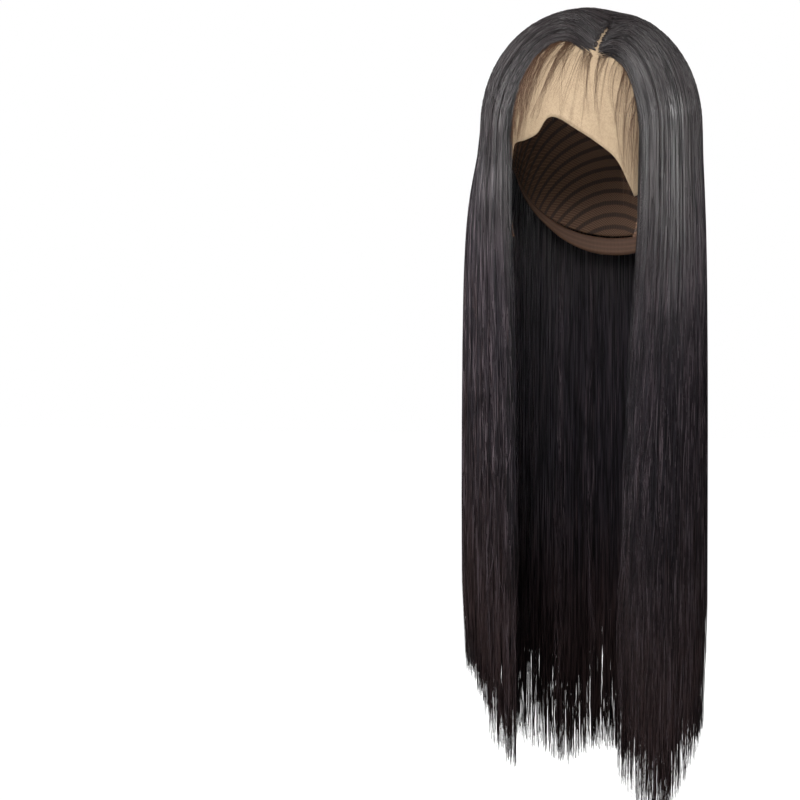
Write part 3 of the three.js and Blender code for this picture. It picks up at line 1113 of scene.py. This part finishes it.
# The fine hairs along the hairline: side, groups, where along the hairline, sway across and length in mm
WISPS = [
    ("right", 8, (0.0, 0.4), (-6, 3), (8, 22)),
    ("left", 9, (0.0, 0.5), (-3, 3), (8, 22)),
    ("right", 14, (0.0, 0.25), (-16, 8), (25, 65)),
    ("right", 34, (0.16, 0.48), (-38, -16), (45, 92)),
    ("right", 17, (0.42, 0.75), (-14, 2), (30, 75)),
    ("right", 6, (0.7, 0.98), (-4, 5), (20, 45)),
    ("left", 12, (0.0, 0.45), (-6, 5), (30, 80)),
    ("left", 8, (0.3, 0.7), (-6, 6), (50, 110)),
    ("left", 9, (0.6, 0.98), (-7, 2), (35, 70)),
]

# How many hairs a group has and how many places a hair goes through
WISP_GROUP = 3
WISP_STEPS = 8

# Their radii in mm, and the share of them that is left at the tip
WISP_RADIUS = (0.11, 0.18)
WISP_TIP = 0.4

# How far hairs stray within their group: as a share of the hairline, and in mm of sway, length and curl
WISP_ROOT_STRAY = 0.006
WISP_SWAY_STRAY = 0.8
WISP_LENGTH_STRAY = 8
WISP_CURL_STRAY = 0.8

# How far they curl in mm, how their sway and fall bend, how far above the hairline they start, how far
# across they reach, and how far from the head they lie and lift
WISP_CURL = 4
WISP_SWAY_BEND = 0.8
WISP_FALL_BEND = 1.1
WISP_START = 2 * MM
WISP_LIMITS = (-60 * MM, 63 * MM)
WISP_CLEAR = 1.4 * MM
WISP_LIFT = 3 * MM


def grouped(groups, low, high, stray):
    """A value for each group of fine hairs, which its hairs stray from."""
    values = np.repeat(rng.uniform(low, high, groups), WISP_GROUP)
    return values + rng.normal(0, stray, len(values))


def make_wisps(sides, material):
    """All fine hairs along both hairlines, lying just off the lace."""
    paths = []
    share = np.linspace(0, 1, WISP_STEPS)
    for side, groups, where, sways, lengths in WISPS:
        start = sides[side].hairline(np.clip(grouped(groups, *where, WISP_ROOT_STRAY), 0, 1))
        sway = grouped(groups, *sways, WISP_SWAY_STRAY)[:, None] * MM
        length = grouped(groups, *lengths, WISP_LENGTH_STRAY)[:, None] * MM
        curl = grouped(groups, -WISP_CURL, WISP_CURL, WISP_CURL_STRAY)[:, None] * MM
        x = start[:, :1] + sway * share ** WISP_SWAY_BEND + curl * np.sin(share * math.pi)
        z = start[:, 2:] + WISP_START - length * share ** WISP_FALL_BEND
        place = on_forehead(np.clip(x, *WISP_LIMITS), z) - RING_CENTRE
        rise = rng.uniform(0, WISP_LIFT, len(start))[:, None] * share
        lift = 1 + (WISP_CLEAR + rise) / HEAD_SIDE
        paths.append(place * lift[..., None] + RING_CENTRE)
    paths = np.concatenate(paths)
    thick = rng.uniform(*WISP_RADIUS, len(paths)) * MM
    radii = thick[:, None] * lerp(1, WISP_TIP, share)
    mesh = strand_mesh("hairline_wisps", paths, radii, rng.random(len(paths)))
    show("hairline_wisps", mesh, material, "hair")


# Camera, floor and light

# The picture's side in pixels, the size of a pixel on the wig, where the wig's axis and crown lie in the
# picture, and the crown's height
PHOTO_SIDE = 800
PIXEL = 0.896 * MM
AXIS_PIXEL = 593
CROWN_PIXEL = 8
CROWN_TOP = 16 * MM

# Where the camera stands: degrees round from the front and up, and the distance, with its sensor in mm
VIEW_ANGLE = 14.0
VIEW_RISE = 3.0
VIEW_DISTANCE = 6.0
SENSOR_WIDTH = 36


def make_camera():
    """A camera at the picture's angle, aimed so that the wig hangs right of the middle as it does there."""
    aside = (AXIS_PIXEL - PHOTO_SIDE / 2) * PIXEL
    height = CROWN_TOP - (PHOTO_SIDE / 2 - CROWN_PIXEL) * PIXEL
    turn = math.radians(VIEW_ANGLE) + math.atan(aside / VIEW_DISTANCE)
    rise = math.radians(VIEW_RISE)
    right = Vector((math.cos(turn), math.sin(turn), 0))
    flat = math.cos(rise)
    back = Vector((math.sin(turn) * flat, -math.cos(turn) * flat, math.sin(rise)))
    target = Vector((0, 0, height)) - right * aside
    data = bpy.data.cameras.new("camera")
    data.sensor_width = SENSOR_WIDTH
    data.lens = SENSOR_WIDTH * VIEW_DISTANCE / (PHOTO_SIDE * PIXEL)
    camera = bpy.data.objects.new("camera", data)
    camera.location = target + back * VIEW_DISTANCE
    camera.rotation_euler = (-back).to_track_quat("-Z", "Y").to_euler()
    bpy.context.scene.collection.objects.link(camera)
    bpy.context.scene.camera = camera


# The floor's side, how far below the wig it lies, its colour and how much it glows
FLOOR_SIDE = 12.0
FLOOR_CLEAR = 22 * MM
FLOOR_GREY = (0.35, 0.35, 0.35, 1)
FLOOR_GLOW = 0.97
WHITE = (1, 1, 1, 1)


def make_floor():
    """A plain pale floor just below the tips, which throws no light back on the wig."""
    bm = bmesh.new()
    bmesh.ops.create_grid(bm, x_segments=1, y_segments=1, size=FLOOR_SIDE / 2)
    bmesh.ops.translate(bm, verts=bm.verts, vec=(0, 0, cad_low.z - FLOOR_CLEAR))
    mesh = bpy.data.meshes.new("floor")
    bm.to_mesh(mesh)
    bm.free()
    material, shader, _ = new_material("pale_floor", roughness=0.7, specular=0.2)
    shader.inputs["Base Color"].default_value = FLOOR_GREY
    shader.inputs["Emission Color"].default_value = WHITE
    shader.inputs["Emission Strength"].default_value = FLOOR_GLOW
    mesh.materials.append(material)
    floor = bpy.data.objects.new("floor", mesh)
    bpy.context.scene.collection.objects.link(floor)
    floor.visible_diffuse = False
    floor.visible_glossy = False


# Soft lights: name, angle from the front, distance, height, height aimed at, side, watts and how many
# degrees the beam spreads
LIGHTS = [
    ("right_hand_light", -20, 1.5, 0.42, -0.08, 0.55, 1.8, 32),
    ("right_side_light", -60, 1.5, 0.22, -0.09, 0.55, 0.3, 26),
    ("left_hand_light", 60, 1.5, 0.16, -0.05, 0.35, 0.25, 9),
    ("left_side_light", 85, 1.5, 0.18, -0.05, 0.4, 0.25, 10),
    ("front_light", 10, 1.5, 0.75, -0.06, 0.55, 2.9, 36),
    ("inside_light", 14, 1.3, -0.55, -0.09, 0.4, 0.25, 22),
    ("low_light", 8, 1.4, -0.30, -0.78, 0.4, 0.34, 17),
    ("back_light", 194, 1.8, -0.42, -0.45, 0.7, 2.5, 30),
]


def make_lights():
    for name, angle, distance, height, aim, side, watts, spread in LIGHTS:
        data = bpy.data.lights.new(name, "AREA")
        data.size = side
        data.energy = watts
        data.spread = math.radians(spread)
        light = bpy.data.objects.new(name, data)
        turn = math.radians(angle)
        light.location = (math.sin(turn) * distance, -math.cos(turn) * distance, height)
        beam = Vector((0, 0, aim)) - light.location
        light.rotation_euler = beam.to_track_quat("-Z", "Y").to_euler()
        light.visible_camera = False
        bpy.context.scene.collection.objects.link(light)


# The sky's light at the horizon and below, its light overhead, and the height from which that holds
SKY_LOW = (0.09, 0.09, 0.095)
SKY_HIGH = (0.11, 0.11, 0.12)
SKY_HIGH_FROM = 0.9


def make_sky():
    """A sky that lights the wig faintly from all round, and that the camera sees as white."""
    world = bpy.data.worlds.new("studio")
    world.use_nodes = True
    tree = world.node_tree
    start = Wire(tree, None)
    direction = start.node("TexCoord", output="Generated")
    up = start.node("SeparateXYZ", values={"Vector": direction}, output="Z")
    stops = [(0.0, SKY_LOW), (SKY_HIGH_FROM, SKY_HIGH)]
    light = start.node("ValToRGB", {"stops": stops}, {"Fac": up})
    seen = start.node("LightPath", output="Is Camera Ray")
    colour = start.mix(seen, light, WHITE)
    tree.links.new(colour.socket, tree.nodes["Background"].inputs["Color"])
    bpy.context.scene.world = world
    bpy.context.scene.view_settings.view_transform = "Standard"


make_camera()
make_floor()
make_lights()
make_sky()
make_cap()
make_lace()
hair = hair_material()
side_hair = {side: SideHair(side) for side in ("right", "left")}
for side, form in side_hair.items():
    make_hair(f"{side}_hair", form, SIDE_LAYERS, hair)
make_hair("back_hair", BackHair(), BACK_LAYERS, hair)
make_wisps(side_hair, wisp_material())

bpy.context.view_layer.update()
